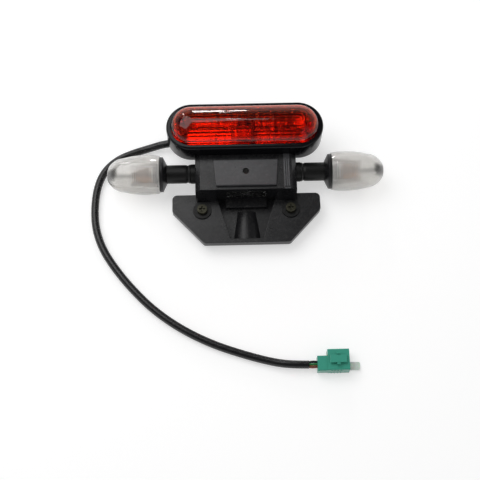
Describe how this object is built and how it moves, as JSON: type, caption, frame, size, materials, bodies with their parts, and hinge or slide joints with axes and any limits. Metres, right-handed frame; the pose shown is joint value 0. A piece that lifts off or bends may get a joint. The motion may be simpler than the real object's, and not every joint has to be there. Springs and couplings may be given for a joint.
{
  "type": "bike tail light",
  "caption": "Rear light set: domed red tail lamp, plate bracket with its own lamp, two clear indicators on rubber stalks, and a sleeved cable with a keyed connector.",
  "frame": {"origin": "bottom centre of the set without its cable, on the rear face of the mounting plate", "axes": "+Z out of the red lens, +Y towards the top of the lamp as it hangs on the vehicle, +X to the viewer's right"},
  "size_m": [0.303, 0.2734, 0.064],
  "materials": {
    "black_plastic": "fine moulded grain, satin black",
    "gloss_black": "polished black",
    "panel_plastic": "fine moulded grain, satin dark grey",
    "red_lens": "transparent red with inner optics",
    "clear_lens": "clear with inner flutes",
    "rubber_black": "smooth matt rubber",
    "chrome_bowl": "vacuum metallised",
    "zinc_steel": "zinc plated",
    "dark_steel": "black zinc",
    "coated_steel": "black powder coat",
    "terminal_brass": "bright brass",
    "bulb_glass": "clear glass",
    "amber_glass": "amber glass",
    "cable_sleeve": "smooth black sleeve",
    "wire_insulation": "coloured insulation",
    "green_nylon": "semi-gloss green nylon",
    "pale_nylon": "translucent natural nylon"
  },
  "bodies": {
    "root": {"body_bracket": "black_plastic", "front_cover": "panel_plastic", "cover_screw": "dark_steel", "rear_cover": "black_plastic", "rear_cover_screws": "zinc_steel", "mounting_plate": "coated_steel", "weld_nuts": "zinc_steel", "mounting_plate_screws": "zinc_steel", "tail_housing": "gloss_black", "housing_screws": "zinc_steel", "lens_gasket": "rubber_black", "tail_lens": "red_lens", "lens_screws": "zinc_steel", "tail_reflector": "chrome_bowl", "tail_bulb_socket": "zinc_steel", "tail_bulb_contact": "terminal_brass", "tail_bulb_cap": "terminal_brass", "tail_bulb_glass": "bulb_glass", "plate_lamp_lens": "clear_lens", "plate_lamp_bulb": "bulb_glass", "plate_lamp_bulb_caps": "zinc_steel", "plate_lamp_clips": "terminal_brass", "plate_grommets": "rubber_black", "plate_screws": "dark_steel", "plate_nuts": "zinc_steel", "cable_gland": "rubber_black", "cable": "cable_sleeve", "connector_wires": "wire_insulation", "connector_housing": "green_nylon", "connector_terminals": "terminal_brass", "connector_tongue": "pale_nylon", "right_stalk_root": "rubber_black", "left_stalk_root": "rubber_black"},
    "left_indicator": {"left_stalk": "rubber_black", "left_indicator_base": "black_plastic", "left_indicator_gasket": "rubber_black", "left_indicator_lens": "clear_lens", "left_indicator_screw": "dark_steel", "left_indicator_reflector": "chrome_bowl", "left_indicator_socket": "black_plastic", "left_indicator_bulb_cap": "terminal_brass", "left_indicator_bulb_glass": "amber_glass"},
    "right_indicator": {"right_stalk": "rubber_black", "right_indicator_base": "black_plastic", "right_indicator_gasket": "rubber_black", "right_indicator_lens": "clear_lens", "right_indicator_screw": "dark_steel", "right_indicator_reflector": "chrome_bowl", "right_indicator_socket": "black_plastic", "right_indicator_bulb_cap": "terminal_brass", "right_indicator_bulb_glass": "amber_glass"},
    "latch": {"connector_latch": "green_nylon"}
  },
  "joints": [
    {"name": "left_stalk_flex", "type": "hinge", "parent": "root", "child": "left_indicator", "pos_m": [-0.056, 0.0045, 0.022], "axis": [0, 0, 1], "range_deg": [-12, 12], "stiffness_Nm_per_rad": 2.5},
    {"name": "right_stalk_flex", "type": "hinge", "parent": "root", "child": "right_indicator", "pos_m": [0.056, 0.0045, 0.022], "axis": [0, 0, 1], "range_deg": [-12, 12], "stiffness_Nm_per_rad": 2.5},
    {"name": "connector_latch_press", "type": "hinge", "parent": "root", "child": "latch", "pos_m": [0.084, -0.1914, 0.01635], "axis": [0, -1, 0], "range_deg": [0, 5], "stiffness_Nm_per_rad": 0.05}
  ]
}
